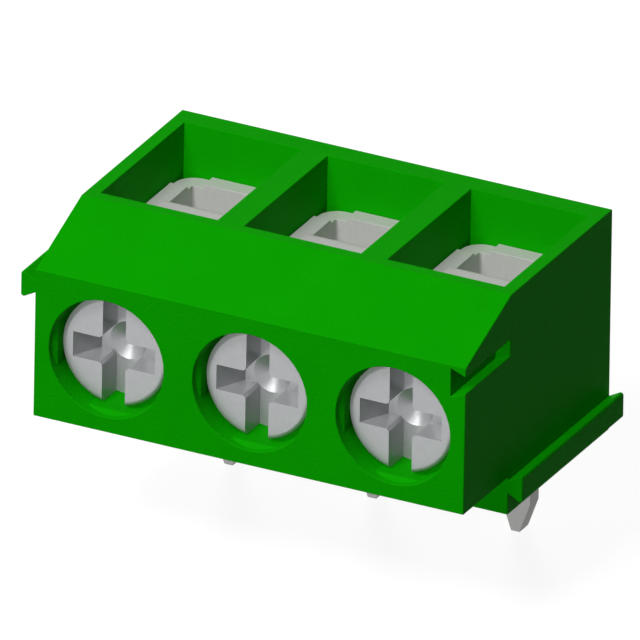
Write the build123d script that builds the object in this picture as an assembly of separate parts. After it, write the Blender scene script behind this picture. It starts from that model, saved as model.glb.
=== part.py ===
from build123d import *
import os

# PCB screw terminal block, three poles in a row, in millimetres.
# X runs along the row, Y to the back, Z up. The origin is the middle solder pin's
# centre on the board's surface, so the pins' row is Y = 0 and the board is Z = 0.
# Wires go in from the top, screws are turned from the front, pins point down.

# Row
POLES = 3
PITCH = 5.0

# Housing, outside
END_WALL = 0.46             # outer chamber to the end of the block
PIN_TO_FRONT = 9.0          # pins' row to the front face
PIN_TO_BACK = 1.1           # pins' row to the back face
BLOCK_HEIGHT = 7.6          # board to the top face
FRONT_LIFT = 1.3            # board to the underside of the front part
CHAMFER_DEPTH = 3.13        # front face to the top face
CHAMFER_HEIGHT = 1.25       # top face to the front face's upper edge
FOOT_DEPTH = 7.0            # back face to the front of the foot on the board

# Chambers, open at the top as wire windows
CHAMBER_FRONT_WALL = 3.55   # front face to the chamber
CHAMBER_FLOOR = 1.65        # board to the chamber's floor
CAGE_SIDE_GAP = 0.04        # chamber wall to the cage, at each side
CAGE_BACK_GAP = 0.03        # chamber wall to the cage, behind it
CAGE_FRONT_GAP = 0.05       # chamber wall to the cage, before it
PIN_SLOT_GAP = 0.03         # floor to the pin, all round

# Screw shafts in the front face
SCREW_HEIGHT = 3.8          # board to the screws' axes
SHAFT_GAP = 0.15            # screw head to the round shaft
SHAFT_FLAT_GAP = 0.02       # screw head to the four flats that guide it
SHAFT_LEAD_END = 0.32       # front face to the flats, behind a 45 degree lead-in

# Dovetails that join blocks side by side
TONGUE_DEPTH = 0.5
TONGUE_ROOT = 0.44          # height at the end of the block
TONGUE_TIP = 0.98           # height at the outer face, before its edges are rounded
TONGUE_ROUND = 0.09
GROOVE_MOUTH_GAP = 0.065    # groove to tongue, above and below the tongue's root
GROOVE_END_GAP = 0.02       # groove to tongue, at the outer face and the rear end
UPPER_DOVETAIL_DROP = 0.59  # front face's upper edge to the middle of the upper pair
LOWER_DOVETAIL_DROP = 0.695 # chambers' floor to the middle of the lower pair

# Clamp cage, one strip folded into a box
STRIP = 0.6
BEND_INNER = 0.1
CAGE_TOP = 5.94             # board to the cage's rim
BEND_RELIEF = 0.12          # the strip's edges step in by this much at each bend
BEND_ZONE_SIDE = 0.96       # end of the cage to where the step ends on a side wall
BEND_ZONE_END = 0.98        # side of the cage to where it ends on a front or rear wall
SEAM = 0.05                 # the strip's two ends, at the right rear bend
THREAD_GAP = 0.02           # collar to screw, both taken at the thread's outside
COLLAR_WALL = 0.11          # drawn collar that carries the thread
COLLAR_LENGTH = 0.8
COLLAR_MOUTH = 0.15
COLLAR_SIDE_GAP = 0.02      # collar to the cage's side walls

# Solder pin, the end of the same strip
PIN_WIDTH = 1.0
PIN_LENGTH = 3.5            # below the board's surface
PIN_TIP = 0.3
PIN_TAPER = 1.0

# Screw
HEAD_RADIUS = 1.85
HEAD_EDGE = 0.2
HEAD_HEIGHT = 1.35
HEAD_RECESS = 0.55          # front face to the head
THREAD_RADIUS = 1.25
THREAD_DEPTH = 0.22         # the neck under the head is this much smaller in radius
NECK_LENGTH = 0.3
TIP_CHAMFER = 0.35
SLOT_WIDTH = 0.81
SLOT_DEPTH = 1.03
CROSS_RIM = 0.22            # cross slot to the head's rounded edge
CROSS_WIDTH = 0.85
CROSS_LEAN = 0.5            # each of its ends leans in by this much
CROSS_CORNER = 0.15
DRIVE_POINT_RADIUS = 0.64
DRIVE_POINT_DEPTH = 0.4

# Pressure plate between screw and wire
PLATE = 0.3
PLATE_SIDE_GAP = 0.05       # cage's side walls to the plate's top
LEAF_STEP = 0.07            # the leaf below is narrower by this much at each side
PLATE_BEND = 0.1            # inner radius of the bend at its top
FLANGE_GAP = 0.5            # chamber's front wall to the top flange, open
PLATE_SLIDE_GAP = 0.02      # cage's rim to the flange, and chamber's floor to the leaf
WIRE_GAP = 1.91             # plate to the cage's rear wall, open
DIMPLE_DEPTH = 0.12
DIMPLE_SLOPE = 0.12
DIMPLE_GAP = 0.05           # screw's end to the dimple, at the side
TIP_GAP = 0.01              # screw's end to the dimple's floor

# Sizes and places worked out from these
bore_radius = THREAD_RADIUS + THREAD_GAP
collar_radius = bore_radius + COLLAR_WALL
cage_half = collar_radius + COLLAR_SIDE_GAP + STRIP
chamber_width = 2 * (cage_half + CAGE_SIDE_GAP)
shaft_radius = HEAD_RADIUS + SHAFT_GAP
neck_radius = THREAD_RADIUS - THREAD_DEPTH
tip_radius = THREAD_RADIUS - TIP_CHAMFER
cross_half = HEAD_RADIUS - HEAD_EDGE - CROSS_RIM
plate_half = cage_half - STRIP - PLATE_SIDE_GAP
leaf_half = plate_half - LEAF_STEP
upper_dovetail = BLOCK_HEIGHT - CHAMFER_HEIGHT - UPPER_DOVETAIL_DROP
lower_dovetail = CHAMBER_FLOOR - LOWER_DOVETAIL_DROP
block_length = (POLES - 1) * PITCH + chamber_width + 2 * END_WALL
front_y = -PIN_TO_FRONT
foot_y = PIN_TO_BACK - FOOT_DEPTH
chamber_y = front_y + CHAMBER_FRONT_WALL
cage_back_y = STRIP / 2
rear_wall_y = -STRIP / 2
cage_front_y = chamber_y + CAGE_FRONT_GAP
flange_y = chamber_y + FLANGE_GAP
plate_y = rear_wall_y - WIRE_GAP
head_y = front_y + HEAD_RECESS
tip_y = plate_y - PLATE + DIMPLE_DEPTH - TIP_GAP
pole_x = [(i - (POLES - 1) / 2) * PITCH for i in range(POLES)]


def block(x, y, z):
    """A box between the two values given for each direction."""
    size = [b - a for a, b in (x, y, z)]
    middle = [(a + b) / 2 for a, b in (x, y, z)]
    return Pos(*middle) * Box(*size)


def facing_back(y, z=0.0):
    """A drawing plane across Y, with X to the right and Z up."""
    return Plane(origin=(0, y, z), x_dir=(1, 0, 0), z_dir=(0, -1, 0))


def across(y0, y1, points, rounded=(), radius=0.0):
    """A polygon in X and Z, some corners rounded, carried from y0 to y1."""
    outline = make_face(Polyline(*points, close=True))
    if rounded:
        corners = [outline.vertices().sort_by_distance((x, z, 0))[0] for x, z in rounded]
        outline = fillet(corners, radius)
    return extrude(facing_back(y1) * outline, amount=y1 - y0)


def along_row(width, points):
    """A polygon in Y and Z carried along X, equally to both sides of X = 0."""
    side = Plane(origin=(0, 0, 0), x_dir=(0, 1, 0), z_dir=(1, 0, 0))
    return extrude(side * make_face(Polyline(*points, close=True)), amount=width / 2, both=True)


def turned(outline):
    """A closed outline of radius and Y, turned about the screw's axis."""
    return Pos(0, 0, SCREW_HEIGHT) * revolve(outline, Axis.Y)


def cylinder_y(radius, y0, y1):
    """A round bar on the screw's axis."""
    points = [(0, y0), (radius, y0), (radius, y1), (0, y1)]
    return turned(make_face(Polyline(*points, close=True)))


def cone_y(radius0, radius1, y0, y1):
    """A tapered round bar on the screw's axis."""
    points = [(0, y0), (radius0, y0), (radius1, y1)]
    if radius1:
        points.append((0, y1))
    return turned(make_face(Polyline(*points, close=True)))


def tongue(x, side, z, y0, y1):
    """A dovetail that stands out from the plane at x, its outer edges rounded."""
    root = TONGUE_ROOT / 2
    tip = TONGUE_TIP / 2
    end = x + side * TONGUE_DEPTH
    points = [(x, z - root), (end, z - tip), (end, z + tip), (x, z + root)]
    return across(y0, y1, points, rounded=points[1:3], radius=TONGUE_ROUND)


def groove(x, side, z, y0, y1):
    """The room for a tongue, from the plane at x inwards, with sharp inner corners."""
    mouth = TONGUE_ROOT / 2 + GROOVE_MOUTH_GAP
    inner = TONGUE_TIP / 2
    end = x + side * (TONGUE_DEPTH + GROOVE_END_GAP)
    return across(y0, y1, [(x, z - mouth), (end, z - inner), (end, z + inner), (x, z + mouth)])


def chamber():
    """The room for one cage, open at the top, with the pin's slot in its floor."""
    half = chamber_width / 2
    back = cage_back_y + CAGE_BACK_GAP
    slot_x = PIN_WIDTH / 2 + PIN_SLOT_GAP
    slot_y = STRIP / 2 + PIN_SLOT_GAP
    room = block((-half, half), (chamber_y, back), (CHAMBER_FLOOR, 2 * BLOCK_HEIGHT))
    slot = block((-slot_x, slot_x), (-slot_y, slot_y), (-BLOCK_HEIGHT, BLOCK_HEIGHT / 2))
    return room + slot


def shaft():
    """The round hole for a screw head, with four flats behind a lead-in."""
    flat = HEAD_RADIUS + SHAFT_FLAT_GAP
    wide = flat + SHAFT_LEAD_END
    lead_y = front_y + SHAFT_LEAD_END
    mouth = facing_back(front_y, SCREW_HEIGHT) * Rectangle(2 * wide, 2 * wide)
    throat = facing_back(lead_y, SCREW_HEIGHT) * Rectangle(2 * flat, 2 * flat)
    tall = (SCREW_HEIGHT - flat, SCREW_HEIGHT + flat)
    guide = block((-flat, flat), (lead_y, cage_front_y), tall)
    funnel = loft([mouth, throat]) + guide
    return cylinder_y(shaft_radius, front_y, cage_front_y) & funnel


def housing():
    """The moulded body with its chambers, screw shafts and dovetails."""
    body = along_row(block_length, [
        (front_y, FRONT_LIFT),
        (front_y, BLOCK_HEIGHT - CHAMFER_HEIGHT),
        (front_y + CHAMFER_DEPTH, BLOCK_HEIGHT),
        (PIN_TO_BACK, BLOCK_HEIGHT),
        (PIN_TO_BACK, 0),
        (foot_y, 0),
        (foot_y, FRONT_LIFT),
    ])
    left = -block_length / 2
    right = block_length / 2
    body += tongue(left, -1, upper_dovetail, front_y, foot_y)
    body += tongue(right, 1, lower_dovetail, foot_y, PIN_TO_BACK)
    body -= groove(right, -1, upper_dovetail, front_y, foot_y + GROOVE_END_GAP)
    body -= groove(left, 1, lower_dovetail, foot_y, PIN_TO_BACK)
    rooms = chamber() + shaft()
    for x in pole_x:
        body -= Pos(x, 0, 0) * rooms
    return body


def clamp_cage():
    """The folded strip: a box open at the top, its seam at the right rear, and the pin."""
    depth = cage_back_y - cage_front_y
    height = CAGE_TOP - CHAMBER_FLOOR
    outside = RectangleRounded(2 * cage_half, depth, BEND_INNER + STRIP)
    room = 2 * (cage_half - STRIP)
    inside = RectangleRounded(room, depth - 2 * STRIP, BEND_INNER)
    middle_y = (cage_front_y + cage_back_y) / 2
    cage = Pos(0, middle_y, CHAMBER_FLOOR) * extrude(outside - inside, amount=height)

    zone_x = cage_half - BEND_ZONE_END
    zone_y = depth / 2 - BEND_ZONE_SIDE
    for z in (CHAMBER_FLOOR, CAGE_TOP):
        step = (z - BEND_RELIEF, z + BEND_RELIEF)
        for side_x in ((-cage_half, -zone_x), (zone_x, cage_half)):
            for side_y in ((-depth / 2, -zone_y), (zone_y, depth / 2)):
                span_y = (middle_y + side_y[0], middle_y + side_y[1])
                cage -= block(side_x, span_y, step)
    seam_x = cage_half - STRIP - BEND_INNER
    cage -= block((seam_x - SEAM, seam_x), (rear_wall_y, cage_back_y), (CHAMBER_FLOOR, CAGE_TOP))

    collar_y = cage_front_y + STRIP + COLLAR_LENGTH
    mouth_y = cage_front_y + COLLAR_MOUTH
    cage += cylinder_y(collar_radius, cage_front_y + STRIP / 2, collar_y)
    cage -= cylinder_y(bore_radius, cage_front_y, collar_y)
    cage -= cone_y(bore_radius + COLLAR_MOUTH, bore_radius, cage_front_y, mouth_y)

    wide = PIN_WIDTH / 2
    narrow = PIN_TIP / 2
    cage += across(rear_wall_y, cage_back_y, [
        (-wide, CHAMBER_FLOOR),
        (-wide, PIN_TAPER - PIN_LENGTH),
        (-narrow, -PIN_LENGTH),
        (narrow, -PIN_LENGTH),
        (wide, PIN_TAPER - PIN_LENGTH),
        (wide, CHAMBER_FLOOR),
    ])
    return cage


def screw():
    """The screw: a round head with a cross and slot drive, a shank and a blunt end."""
    neck_y = head_y + HEAD_HEIGHT + NECK_LENGTH
    face = HEAD_RADIUS - HEAD_EDGE
    edge = RadiusArc((face, head_y), (HEAD_RADIUS, head_y + HEAD_EDGE), -HEAD_EDGE)
    side = Polyline(
        (HEAD_RADIUS, head_y + HEAD_EDGE),
        (HEAD_RADIUS, head_y + HEAD_HEIGHT),
        (neck_radius, head_y + HEAD_HEIGHT),
        (neck_radius, neck_y),
        (THREAD_RADIUS, neck_y + THREAD_DEPTH),
        (THREAD_RADIUS, tip_y - TIP_CHAMFER),
        (tip_radius, tip_y),
        (0, tip_y),
        (0, head_y),
        (face, head_y),
    )
    return turned(make_face([edge, side])) - drive()


def drive():
    """The recess: a slot right across, a cross slot with leaning ends, a drill point."""
    floor_y = head_y + SLOT_DEPTH
    before_y = head_y - SLOT_DEPTH
    wide = CROSS_WIDTH / 2
    cross = extrude(make_face(Polyline(
        (-cross_half, before_y),
        (cross_half, before_y),
        (cross_half, head_y),
        (cross_half - CROSS_LEAN, floor_y),
        (CROSS_LEAN - cross_half, floor_y),
        (-cross_half, head_y),
        close=True,
    )), amount=wide, both=True)
    slot_x = SLOT_WIDTH / 2
    slot_z = 2 * HEAD_RADIUS
    slot = block((-slot_x, slot_x), (before_y, floor_y), (-slot_z, slot_z))
    recess = slot + cross
    corners = [e for e in recess.edges().filter_by(Axis.Y)
               if abs(abs(e.center().X) - slot_x) < 0.01 and abs(e.center().Z) < cross_half]
    recess = Pos(0, 0, SCREW_HEIGHT) * fillet(corners, CROSS_CORNER)
    return recess + cone_y(DRIVE_POINT_RADIUS, 0, floor_y, floor_y + DRIVE_POINT_DEPTH)


def pressure_plate():
    """The bent plate that the screw pushes: a leaf with a dimple and a top flange."""
    under = CAGE_TOP + PLATE_SLIDE_GAP
    top = under + PLATE
    foot = CHAMBER_FLOOR + PLATE_SLIDE_GAP
    leaf_y = plate_y - PLATE
    plate = along_row(2 * plate_half, [
        (flange_y, under),
        (flange_y, top),
        (plate_y, top),
        (plate_y, foot),
        (leaf_y, foot),
        (leaf_y, under),
    ])
    bends = plate.edges().filter_by(Axis.X)
    inner = bends.sort_by_distance((0, leaf_y, under))[0]
    plate = fillet(inner, PLATE_BEND)
    outer = plate.edges().filter_by(Axis.X).sort_by_distance((0, plate_y, top))[0]
    plate = fillet(outer, PLATE_BEND + PLATE)
    for side in (-1, 1):
        span = sorted((side * leaf_half, side * cage_half))
        plate -= block(span, (leaf_y - PLATE_BEND, plate_y + PLATE), (0, 2 * CAGE_TOP))

    floor = tip_radius + DIMPLE_GAP
    mouth = floor + DIMPLE_SLOPE
    plate += cone_y(mouth, floor, plate_y, plate_y + DIMPLE_DEPTH)
    plate -= cone_y(mouth, floor, leaf_y, leaf_y + DIMPLE_DEPTH)
    return plate


os.makedirs("parts", exist_ok=True)
export_step(housing(), "parts/housing.step")
pole_pieces = {
    "clamp_cage": clamp_cage(),
    "screw": screw(),
    "pressure_plate": pressure_plate(),
}
for number, x in enumerate(pole_x, start=1):
    for name, piece in pole_pieces.items():
        export_step(Pos(x, 0, 0) * piece, f"parts/{name}_{number}.step")
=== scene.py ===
import math

import bmesh
import bpy
from mathutils import Matrix, Vector


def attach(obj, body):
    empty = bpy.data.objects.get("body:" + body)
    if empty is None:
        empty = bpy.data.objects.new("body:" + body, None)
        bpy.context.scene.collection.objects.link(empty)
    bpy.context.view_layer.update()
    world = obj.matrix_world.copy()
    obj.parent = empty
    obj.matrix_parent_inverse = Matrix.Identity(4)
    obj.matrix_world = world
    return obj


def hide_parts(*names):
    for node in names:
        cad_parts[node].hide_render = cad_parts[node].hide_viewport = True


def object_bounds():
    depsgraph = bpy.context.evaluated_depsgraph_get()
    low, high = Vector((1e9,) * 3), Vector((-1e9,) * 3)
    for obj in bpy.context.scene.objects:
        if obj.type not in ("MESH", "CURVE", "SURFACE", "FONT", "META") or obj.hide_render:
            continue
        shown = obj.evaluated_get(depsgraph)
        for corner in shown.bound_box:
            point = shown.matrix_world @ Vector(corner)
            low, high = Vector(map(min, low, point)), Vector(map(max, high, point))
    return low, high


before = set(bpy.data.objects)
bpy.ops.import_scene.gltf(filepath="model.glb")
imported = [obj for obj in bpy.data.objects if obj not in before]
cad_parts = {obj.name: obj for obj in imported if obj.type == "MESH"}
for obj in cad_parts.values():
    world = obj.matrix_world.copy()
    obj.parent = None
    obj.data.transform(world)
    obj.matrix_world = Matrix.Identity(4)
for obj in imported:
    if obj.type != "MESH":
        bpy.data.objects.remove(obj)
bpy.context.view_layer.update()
scene = bpy.context.scene
scene.view_settings.view_transform = "Standard"
MM = 0.001
POLES = (1, 2, 3)


# Camera
# A parallel view from the front right and above, rolled a little about its own line
# of sight. It is as wide as the block from end to end with its dovetails.
VIEW_TURN = math.radians(26.377)
VIEW_RISE = math.radians(25.659)
VIEW_ROLL = math.radians(0.951)
VIEW_WIDTH = 19.9225 * MM
VIEW_CENTRE = Vector((-0.0693, -4.0, 4.1914)) * MM
VIEW_DISTANCE = 100 * MM

level = Vector((math.cos(VIEW_TURN), math.sin(VIEW_TURN), 0))
towards = Vector((
    math.sin(VIEW_TURN) * math.cos(VIEW_RISE),
    -math.cos(VIEW_TURN) * math.cos(VIEW_RISE),
    math.sin(VIEW_RISE),
))
upright = towards.cross(level)
image_x = level * math.cos(VIEW_ROLL) + upright * math.sin(VIEW_ROLL)
image_y = upright * math.cos(VIEW_ROLL) - level * math.sin(VIEW_ROLL)

lens = bpy.data.cameras.new("parallel_lens")
lens.type = "ORTHO"
lens.ortho_scale = VIEW_WIDTH
lens.clip_start = 1 * MM
lens.clip_end = 1000 * MM
camera = bpy.data.objects.new("camera", lens)
scene.collection.objects.link(camera)
turned = Matrix((image_x, image_y, towards)).transposed().to_4x4()
camera.matrix_world = Matrix.Translation(VIEW_CENTRE + towards * VIEW_DISTANCE) @ turned
scene.camera = camera


# Housing
# The body is one injection moulding in glass-filled green polyamide. The mould was
# spark-eroded, so its faces have a fine even grain that leaves them matt, with hardly
# any shine, and its edges are very slightly round.
GREEN = "#0BA000"
GREEN_RICH = "#089800"
MOULD_GRAIN = 0.11          # mm, about twice the real grain, or it would not show
GRAIN_DEPTH = 0.02          # mm
FLOW_CLOUD = 1.6            # mm, soft cloudiness where the melt cooled at different speeds
HOUSING_EDGE = 0.022        # mm, radius of the moulded edges
DOUBLED = 0.002             # mm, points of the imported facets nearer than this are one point
FLAT = 1                    # degrees, facets that differ less are one flat face
CREASE = 20                 # degrees, edges sharper than this stay crisp in the shading
SHARP = 35                  # degrees, edges sharper than this are rounded


def linear(hex_colour):
    """An sRGB hex value as a linear colour."""
    parts = [int(hex_colour[i:i + 2], 16) / 255 for i in (1, 3, 5)]
    return [c / 12.92 if c <= 0.04045 else ((c + 0.055) / 1.055) ** 2.4 for c in parts] + [1]


def add_node(tree, kind, inputs=(), **settings):
    """A shader node with its settings. Each input is a value or another node's output."""
    node = tree.nodes.new(kind)
    for name, value in settings.items():
        setattr(node, name, value)
    for socket, value in dict(inputs).items():
        if isinstance(value, bpy.types.NodeSocket):
            tree.links.new(value, node.inputs[socket])
        else:
            node.inputs[socket].default_value = value
    return node


def new_finish(name):
    """An empty material, its nodes, and the place in millimetres that patterns are laid by."""
    finish = bpy.data.materials.new(name)
    finish.use_nodes = True
    tree = finish.node_tree
    tree.nodes.clear()
    where = add_node(tree, "ShaderNodeTexCoord").outputs["Object"]
    in_mm = add_node(tree, "ShaderNodeVectorMath", {
        0: where, 1: (1 / MM,) * 3,
    }, operation="MULTIPLY")
    return finish, tree, in_mm.outputs[0]


def show(tree, shader):
    """Ends a material with its shader."""
    add_node(tree, "ShaderNodeOutputMaterial", {"Surface": shader.outputs[0]})


def crease_group(limit):
    """Nodes that keep edges sharper than the limit crisp and shade the rest smooth."""
    group = bpy.data.node_groups.new("creases", "GeometryNodeTree")
    group.interface.new_socket("Geometry", in_out="INPUT", socket_type="NodeSocketGeometry")
    group.interface.new_socket("Geometry", in_out="OUTPUT", socket_type="NodeSocketGeometry")
    before = add_node(group, "NodeGroupInput")
    smooth = add_node(group, "GeometryNodeSetShadeSmooth", {0: before.outputs[0]}, domain="FACE")
    angle = add_node(group, "GeometryNodeInputMeshEdgeAngle").outputs[0]
    sharp = add_node(group, "FunctionNodeCompare", {
        0: angle, 1: math.radians(limit),
    }, operation="GREATER_THAN")
    crisp = add_node(group, "GeometryNodeSetShadeSmooth", {
        0: smooth.outputs[0], 1: sharp.outputs[0], 2: False,
    }, domain="EDGE")
    add_node(group, "NodeGroupOutput", {0: crisp.outputs[0]})
    return group


creases = crease_group(CREASE)


def round_edges(piece, radius):
    """Rounds a node's sharp edges, once its facets are joined and its flat faces whole."""
    weld = piece.modifiers.new("joined facets", "WELD")
    weld.merge_threshold = DOUBLED * MM
    flat = piece.modifiers.new("whole faces", "DECIMATE")
    flat.decimate_type = "DISSOLVE"
    flat.angle_limit = math.radians(FLAT)
    crisp = piece.modifiers.new("creases", "NODES")
    crisp.node_group = creases
    edge = piece.modifiers.new("round edges", "BEVEL")
    edge.width = radius * MM
    edge.segments = 2
    edge.limit_method = "ANGLE"
    edge.angle_limit = math.radians(SHARP)
    edge.face_strength_mode = "FSTR_AFFECTED"
    shading = piece.modifiers.new("even shading", "WEIGHTED_NORMAL")
    shading.use_face_influence = True
    shading.keep_sharp = True


def finish_node(name, finish, radius):
    """Gives a CAD node its material and its round edges."""
    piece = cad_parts[name]
    piece.data.materials.clear()
    piece.data.materials.append(finish)
    round_edges(piece, radius)


polyamide, tree, in_mm = new_finish("spark_eroded_green_polyamide")
grain = add_node(tree, "ShaderNodeTexNoise", {
    "Vector": in_mm, "Scale": 1 / MOULD_GRAIN, "Detail": 3, "Roughness": 0.6,
})
cloud = add_node(tree, "ShaderNodeTexNoise", {
    "Vector": in_mm, "Scale": 1 / FLOW_CLOUD, "Detail": 2,
})
shade = add_node(tree, "ShaderNodeMix", {
    "Factor": cloud.outputs["Fac"], 6: linear(GREEN_RICH), 7: linear(GREEN),
}, data_type="RGBA")
matt = add_node(tree, "ShaderNodeMapRange", {
    "Value": grain.outputs["Fac"], "To Min": 0.5, "To Max": 0.64,
})
relief = add_node(tree, "ShaderNodeBump", {
    "Height": grain.outputs["Fac"], "Strength": 0.6, "Distance": GRAIN_DEPTH * MM,
})
show(tree, add_node(tree, "ShaderNodeBsdfPrincipled", {
    "Base Color": shade.outputs[2],
    "Roughness": matt.outputs[0],
    "IOR": 1.53,
    "Specular IOR Level": 0.02,     # the grain scatters nearly all of the shine
    "Normal": relief.outputs[0],
}))
finish_node("housing", polyamide, HOUSING_EDGE)


# Clamp cages and solder pins
# Each cage and its pin are one strip of brass, stamped, folded into a box and tin
# plated all over, then pressed down into its chamber. Tin is a soft pale grey: its fine
# crystals scatter much of the light, so it has a dull shine and no clear reflections.
TIN = "#D6D5D3"
TIN_DULL = "#C6C5C3"
TIN_GRAIN = 0.16            # mm, patches of the plating's crystals, drawn coarse
CRYSTAL_RELIEF = 0.01       # mm, height of the crystals
CAGE_EDGE = 0.02            # mm, radius that shearing leaves along the strip


def plating(name, bright, dull, grain_size, metallic, roughness, stretch=(1, 1, 1)):
    """An electroplated metal: patches of two tones, with the crystals' range of roughness."""
    finish, tree, in_mm = new_finish(name)
    along = add_node(tree, "ShaderNodeVectorMath", {0: in_mm, 1: stretch}, operation="MULTIPLY")
    patches = add_node(tree, "ShaderNodeTexNoise", {
        "Vector": along.outputs[0], "Scale": 1 / grain_size, "Detail": 4, "Roughness": 0.65,
    }).outputs["Fac"]
    tone = add_node(tree, "ShaderNodeMix", {
        "Factor": patches, 6: linear(dull), 7: linear(bright),
    }, data_type="RGBA")
    rough = add_node(tree, "ShaderNodeMapRange", {
        "Value": patches, "To Min": roughness[0], "To Max": roughness[1],
    })
    relief = add_node(tree, "ShaderNodeBump", {
        "Height": patches, "Strength": 0.05, "Distance": CRYSTAL_RELIEF * MM,
    })
    show(tree, add_node(tree, "ShaderNodeBsdfPrincipled", {
        "Base Color": tone.outputs[2],
        "Metallic": metallic,
        "Specular IOR Level": 0.2,
        "Roughness": rough.outputs[0],
        "Normal": relief.outputs[0],
    }))
    return finish


tin = plating("matt_tin_plating", TIN, TIN_DULL, TIN_GRAIN, 0.2, (0.42, 0.58))
for pole in POLES:
    finish_node(f"clamp_cage_{pole}", tin, CAGE_EDGE)


# Pressure plates
# Each is a leaf of spring steel with a flange bent forward at its top, which keeps the
# wire out of the space before it. It hangs on the cage's rim. It is tin plated like the
# cage, and fine lines from the rolling of the sheet still show along it.
ROLLING_LINE = 0.09         # mm between lines, drawn coarse
ROLLED_ALONG = (1, 0.06, 0.06)    # the pattern is drawn out along the leaf and its flange
PLATE_EDGE = 0.02           # mm

rolled_tin = plating(
    "tin_plated_rolled_steel", TIN, TIN_DULL, ROLLING_LINE, 0.2, (0.4, 0.56), ROLLED_ALONG,
)
for pole in POLES:
    finish_node(f"pressure_plate_{pole}", rolled_tin, PLATE_EDGE)


# Screws
# Each screw is steel, cold headed, its thread rolled, then zinc plated and passivated
# clear. That gives a pale, slightly blue grey with more shine than the tin. The packed
# screw is plain where the thread is, so the shank is made here with its real M2.5 thread.
ZINC = "#BDBEC0"
ZINC_DULL = "#AEAFB1"
ZINC_GRAIN = 0.2            # mm, patches of the plating's crystals, drawn coarse
AXIS_Z = 3.8                # mm, all three screws' height
POLE_PITCH = 5.0            # mm
HEAD_KEPT_TO = -6.95        # mm, Y just behind the drill point, kept as packed up to there
NECK_END = -6.80            # mm, Y where the thread starts
SCREW_END = -2.40           # mm, Y
THREAD_PITCH = 0.45         # mm
CREST = 1.25                # mm, radius
ROOT = 1.03                 # mm, radius
TIP = 0.9                   # mm, radius of the blunt end
TIP_CHAMFER = 0.35          # mm
ROUND_STEPS = 48
SAME_POINT = 0.0005         # mm, points of the thread that fall together at its two ends
SCREW_CREASE = 28           # degrees, edges sharper than this stay crisp in the shading
THREAD_FORM = ((0.0, ROOT), (0.126, ROOT), (0.253, CREST), (0.323, CREST))    # mm along, radius


def thread_radius(profile, y):
    """The thread's radius, no more than the cones at its two ends leave."""
    return min(profile, ROOT + y - NECK_END, TIP + (SCREW_END - y) * (CREST - TIP) / TIP_CHAMFER)


def threaded_shank(mesh, axis_x):
    """Adds the threaded shank to a screw's mesh, and returns its points."""
    turns = math.ceil((SCREW_END - NECK_END) / THREAD_PITCH) + 2
    rows = []
    for turn in range(-1, turns):
        for along, profile in THREAD_FORM:
            row = []
            for step in range(ROUND_STEPS):
                y = NECK_END + along + THREAD_PITCH * (turn + step / ROUND_STEPS)
                y = min(max(y, NECK_END), SCREW_END)
                angle = 2 * math.pi * step / ROUND_STEPS
                r = thread_radius(profile, y)
                place = Vector((axis_x + r * math.sin(angle), y, AXIS_Z + r * math.cos(angle)))
                row.append(mesh.verts.new(place * MM))
            rows.append(row)
    next_turn = rows[len(THREAD_FORM):]
    joined = [row + [same_row[0]] for row, same_row in zip(rows, next_turn)]
    for row, after in zip(joined, joined[1:]):
        for step in range(ROUND_STEPS):
            mesh.faces.new((row[step], row[step + 1], after[step + 1], after[step]))
    return [vert for row in rows for vert in row]


zinc = plating("clear_passivated_zinc", ZINC, ZINC_DULL, ZINC_GRAIN, 0.42, (0.28, 0.37))
for pole in POLES:
    axis_x = (pole - 2) * POLE_PITCH
    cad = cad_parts[f"screw_{pole}"].data
    mesh = bmesh.new()
    verts = [mesh.verts.new(vert.co) for vert in cad.vertices]
    for face in cad.polygons:
        mesh.faces.new([verts[i] for i in face.vertices])
    bmesh.ops.remove_doubles(mesh, verts=mesh.verts, dist=DOUBLED * MM)
    plain_shank = [vert for vert in mesh.verts if vert.co.y > HEAD_KEPT_TO * MM]
    bmesh.ops.delete(mesh, geom=plain_shank, context="VERTS")
    neck = [edge for edge in mesh.edges if edge.is_boundary]
    shank = threaded_shank(mesh, axis_x)
    bmesh.ops.remove_doubles(mesh, verts=shank, dist=SAME_POINT * MM)
    loose = [vert for vert in mesh.verts if not vert.link_faces]
    bmesh.ops.delete(mesh, geom=loose, context="VERTS")
    ends = [edge for edge in mesh.edges if edge.is_boundary and edge not in neck]
    start = [edge for edge in ends if edge.verts[0].co.y < (NECK_END + THREAD_PITCH) * MM]
    bmesh.ops.bridge_loops(mesh, edges=neck + start)
    bmesh.ops.holes_fill(mesh, edges=[edge for edge in mesh.edges if edge.is_boundary])
    bmesh.ops.recalc_face_normals(mesh, faces=mesh.faces)
    for face in mesh.faces:
        face.smooth = True
    form = bpy.data.meshes.new(f"threaded_screw_{pole}")
    mesh.to_mesh(form)
    mesh.free()
    form.set_sharp_from_angle(angle=math.radians(SCREW_CREASE))
    form.materials.append(zinc)
    piece = bpy.data.objects.new(f"threaded_screw_{pole}", form)
    scene.collection.objects.link(piece)
    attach(piece, f"screw_{pole}")
    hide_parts(f"screw_{pole}")


# Floor and light
# The block stands on the tips of its pins on a plain white floor. A soft lamp in front
# and above gives the shadows and a wider one without shadows keeps them light. A small
# one to the left puts the glints in the screws, and one low behind shows the back.
FLOOR_HALF = 500 * MM
FLOOR_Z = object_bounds()[0].z - 0.02 * MM      # just clear of the pins' tips
PAPER_THAT_LIGHTS = "#454545"       # what the block gets back from it
PAPER_SEEN = "#A0A0A0"              # with the glow it is seen as white, and darker in shadow
PAPER_GLOW = 0.77
ROOM_THAT_LIGHTS = 0.1
ROOM_SEEN_OVERHEAD = 0.45           # white at the block's height, and greyer overhead
BLOCK_MIDDLE = Vector((0, -4, 3)) * MM

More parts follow.
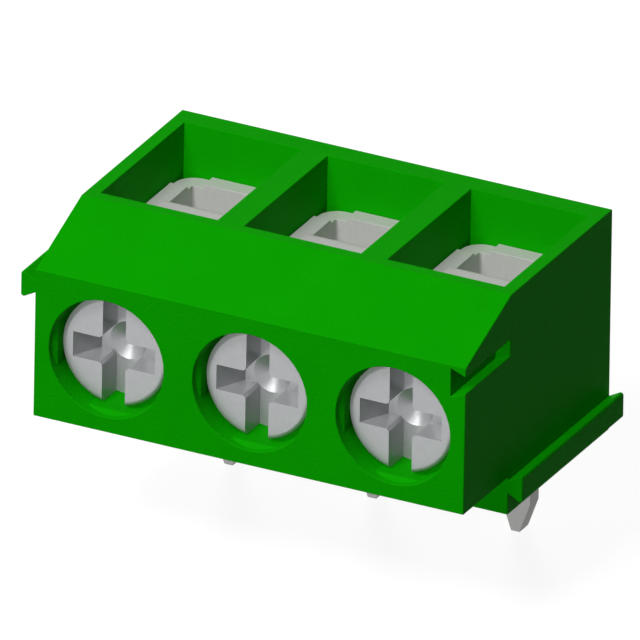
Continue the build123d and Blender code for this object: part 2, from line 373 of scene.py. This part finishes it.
corners = [(-1, -1), (1, -1), (1, 1), (-1, 1)]
plane = bpy.data.meshes.new("floor")
plane.from_pydata([(x * FLOOR_HALF, y * FLOOR_HALF, FLOOR_Z) for x, y in corners], [], [(0, 1, 2, 3)])
floor = bpy.data.objects.new("floor", plane)
scene.collection.objects.link(floor)
paper = bpy.data.materials.new("white_paper")
paper.use_nodes = True
tree = paper.node_tree
tree.nodes.clear()


def seen(tree):
    """1 for what the camera sees, straight or in metal or glass, and 0 for light on the object."""
    path = add_node(tree, "ShaderNodeLightPath")
    either = add_node(tree, "ShaderNodeMath", {
        0: path.outputs["Is Camera Ray"], 1: path.outputs["Is Glossy Ray"],
    }, operation="MAXIMUM")
    any_of_three = add_node(tree, "ShaderNodeMath", {
        0: either.outputs[0], 1: path.outputs["Is Transmission Ray"],
    }, operation="MAXIMUM")
    return any_of_three.outputs[0]


soft = add_node(tree, "ShaderNodeBsdfDiffuse", {"Color": linear(PAPER_THAT_LIGHTS)})
pale = add_node(tree, "ShaderNodeBsdfDiffuse", {"Color": linear(PAPER_SEEN)})
glow = add_node(tree, "ShaderNodeEmission", {"Strength": PAPER_GLOW})
bright = add_node(tree, "ShaderNodeAddShader", {0: pale.outputs[0], 1: glow.outputs[0]})
show(tree, add_node(tree, "ShaderNodeMixShader", {
    "Fac": seen(tree), 1: soft.outputs[0], 2: bright.outputs[0],
}))
plane.materials.append(paper)

world = bpy.data.worlds.new("studio")
world.use_nodes = True
scene.world = world
tree = world.node_tree
tree.nodes.clear()
dim = add_node(tree, "ShaderNodeBackground", {
    "Color": (1, 1, 1, 1), "Strength": ROOM_THAT_LIGHTS,
})
direction = add_node(tree, "ShaderNodeTexCoord").outputs["Generated"]
height = add_node(tree, "ShaderNodeSeparateXYZ", {0: direction}).outputs[2]
fade = add_node(tree, "ShaderNodeMapRange", {
    "Value": height, "From Min": 0.1, "From Max": 0.8, "To Min": 1, "To Max": ROOM_SEEN_OVERHEAD,
})
white = add_node(tree, "ShaderNodeBackground", {
    "Color": (1, 1, 1, 1), "Strength": fade.outputs[0],
})
room = add_node(tree, "ShaderNodeMixShader", {
    "Fac": seen(tree), 1: dim.outputs[0], 2: white.outputs[0],
})
add_node(tree, "ShaderNodeOutputWorld", {"Surface": room.outputs[0]})


def softbox(name, direction, distance, size, level, shadow=True, shine=True):
    """A square lamp that gives a face towards it this share of its written colour.

    Distance and size are in mm. It may throw no shadow, or put no shine on the pieces.
    """
    light = bpy.data.lights.new(name, "AREA")
    light.size = size * MM
    light.energy = level * (math.pi * distance * MM) ** 2
    light.use_shadow = shadow
    lamp = bpy.data.objects.new(name, light)
    scene.collection.objects.link(lamp)
    way = Vector(direction).normalized()
    lamp.location = BLOCK_MIDDLE + way * distance * MM
    lamp.rotation_euler = way.to_track_quat("Z", "Y").to_euler()
    lamp.visible_glossy = shine


softbox("key_softbox", (-0.1, -0.65, 0.70), 160, 45, 0.36)
softbox("fill_softbox", (-0.107, -0.318, 0.385), 160, 90, 0.511, shadow=False, shine=False)
softbox("glint_softbox", (-0.40, -0.76, 0.51), 160, 34, 0.14, shadow=False)
softbox("rear_softbox", (-0.5, 0.85, 0.15), 130, 40, 0.5, shine=False)
